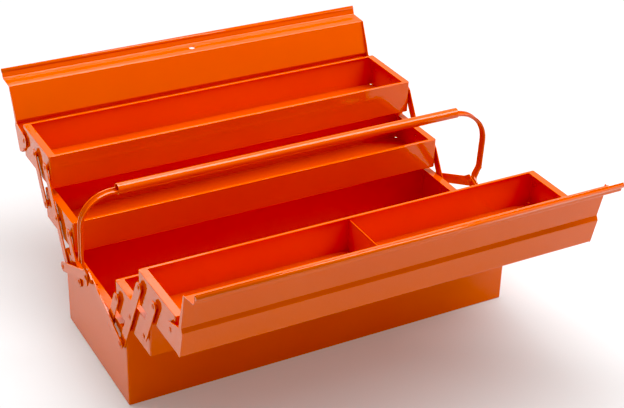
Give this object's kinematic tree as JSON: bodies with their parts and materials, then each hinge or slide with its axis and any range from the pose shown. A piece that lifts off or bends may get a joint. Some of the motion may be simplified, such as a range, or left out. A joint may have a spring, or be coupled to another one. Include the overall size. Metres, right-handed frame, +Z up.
{
  "type": "cantilever tool box",
  "caption": "Open steel cantilever tool box: bottom box, front and rear banks of trays on strap arms, folded lids and a swinging carrying handle.",
  "frame": {"origin": "centre of the bottom box's underside", "axes": "+X along the box, -Y towards the front bank, +Z up"},
  "size_m": [0.5674, 0.6243, 0.2754],
  "materials": {
    "orange_paint": "gloss",
    "orange_paint_hardware": "gloss"
  },
  "bodies": {
    "base": {"base_box": "orange_paint", "strut_front_left": "orange_paint", "strut_front_right": "orange_paint", "strut_rear_left": "orange_paint", "strut_rear_right": "orange_paint", "long_arm_rivets": "orange_paint_hardware", "short_arm_rivets": "orange_paint_hardware", "handle_rivets": "orange_paint_hardware"},
    "handle": {"handle_bail": "orange_paint", "handle_grip": "orange_paint"},
    "front_long_arms": {"front_long_arm_left": "orange_paint", "front_long_arm_right": "orange_paint"},
    "front_low_arms": {"front_low_arm_left": "orange_paint", "front_low_arm_right": "orange_paint"},
    "front_top_arms": {"front_top_arm_left": "orange_paint", "front_top_arm_right": "orange_paint"},
    "front_lower": {"front_lower_tray": "orange_paint", "front_lower_rivets": "orange_paint_hardware"},
    "front_upper": {"front_upper_tray": "orange_paint", "front_upper_rivets": "orange_paint_hardware", "front_upper_divider": "orange_paint"},
    "front_lid_body": {"front_lid": "orange_paint"},
    "rear_long_arms": {"rear_long_arm_left": "orange_paint", "rear_long_arm_right": "orange_paint"},
    "rear_low_arms": {"rear_low_arm_left": "orange_paint", "rear_low_arm_right": "orange_paint"},
    "rear_top_arms": {"rear_top_arm_left": "orange_paint", "rear_top_arm_right": "orange_paint"},
    "rear_lower": {"rear_lower_tray": "orange_paint", "rear_lower_rivets": "orange_paint_hardware"},
    "rear_upper": {"rear_upper_tray": "orange_paint", "rear_upper_rivets": "orange_paint_hardware"},
    "rear_lid_body": {"rear_lid": "orange_paint"}
  },
  "joints": [
    {"name": "front_bank_fold", "type": "hinge", "parent": "base", "child": "front_long_arms", "pos_m": [0, -0.0936, 0.0854], "axis": [-1, 0, 0], "range_deg": [0, 70.5]},
    {"name": "front_lower_tray_level", "type": "hinge", "parent": "front_long_arms", "child": "front_lower", "pos_m": [0, -0.12214, 0.13908], "axis": [-1, 0, 0], "range_deg": [-70.5, 0]},
    {"name": "front_upper_tray_level", "type": "hinge", "parent": "front_long_arms", "child": "front_upper", "pos_m": [0, -0.15257, 0.1963], "axis": [-1, 0, 0], "range_deg": [-70.5, 0]},
    {"name": "front_low_arm_fold", "type": "hinge", "parent": "base", "child": "front_low_arms", "pos_m": [0, -0.0508, 0.0854], "axis": [-1, 0, 0], "range_deg": [0, 70.5]},
    {"name": "front_top_arm_fold", "type": "hinge", "parent": "front_lower", "child": "front_top_arms", "pos_m": [0, -0.16344, 0.13908], "axis": [-1, 0, 0], "range_deg": [0, 70.5]},
    {"name": "front_lid_hinge", "type": "hinge", "parent": "front_upper", "child": "front_lid_body", "pos_m": [0, -0.23837, 0.194], "axis": [-1, 0, 0], "range_deg": [0, 103]},
    {"name": "rear_bank_fold", "type": "hinge", "parent": "base", "child": "rear_long_arms", "pos_m": [0, 0.0936, 0.0854], "axis": [1, 0, 0], "range_deg": [0, 73]},
    {"name": "rear_lower_tray_level", "type": "hinge", "parent": "rear_long_arms", "child": "rear_lower", "pos_m": [0, 0.12446, 0.13779], "axis": [1, 0, 0], "range_deg": [-73, 0]},
    {"name": "rear_upper_tray_level", "type": "hinge", "parent": "rear_long_arms", "child": "rear_upper", "pos_m": [0, 0.15735, 0.19362], "axis": [1, 0, 0], "range_deg": [-73, 0]},
    {"name": "rear_low_arm_fold", "type": "hinge", "parent": "base", "child": "rear_low_arms", "pos_m": [0, 0.0508, 0.0854], "axis": [1, 0, 0], "range_deg": [0, 73]},
    {"name": "rear_top_arm_fold", "type": "hinge", "parent": "rear_lower", "child": "rear_top_arms", "pos_m": [0, 0.16576, 0.13779], "axis": [1, 0, 0], "range_deg": [0, 73]},
    {"name": "rear_lid_hinge", "type": "hinge", "parent": "rear_upper", "child": "rear_lid_body", "pos_m": [0, 0.24315, 0.19132], "axis": [1, 0, 0], "range_deg": [0, 111]},
    {"name": "handle_swing", "type": "hinge", "parent": "base", "child": "handle", "pos_m": [0, 0, 0.1235], "axis": [1, 0, 0], "range_deg": [-38.5, 31.5]}
  ],
  "couplings": [
    {"joint": "front_lower_tray_level", "follows": "front_bank_fold", "ratio": -1},
    {"joint": "front_upper_tray_level", "follows": "front_bank_fold", "ratio": -1},
    {"joint": "front_low_arm_fold", "follows": "front_bank_fold", "ratio": 1},
    {"joint": "front_top_arm_fold", "follows": "front_bank_fold", "ratio": 1},
    {"joint": "rear_lower_tray_level", "follows": "rear_bank_fold", "ratio": -1},
    {"joint": "rear_upper_tray_level", "follows": "rear_bank_fold", "ratio": -1},
    {"joint": "rear_low_arm_fold", "follows": "rear_bank_fold", "ratio": 1},
    {"joint": "rear_top_arm_fold", "follows": "rear_bank_fold", "ratio": 1}
  ]
}
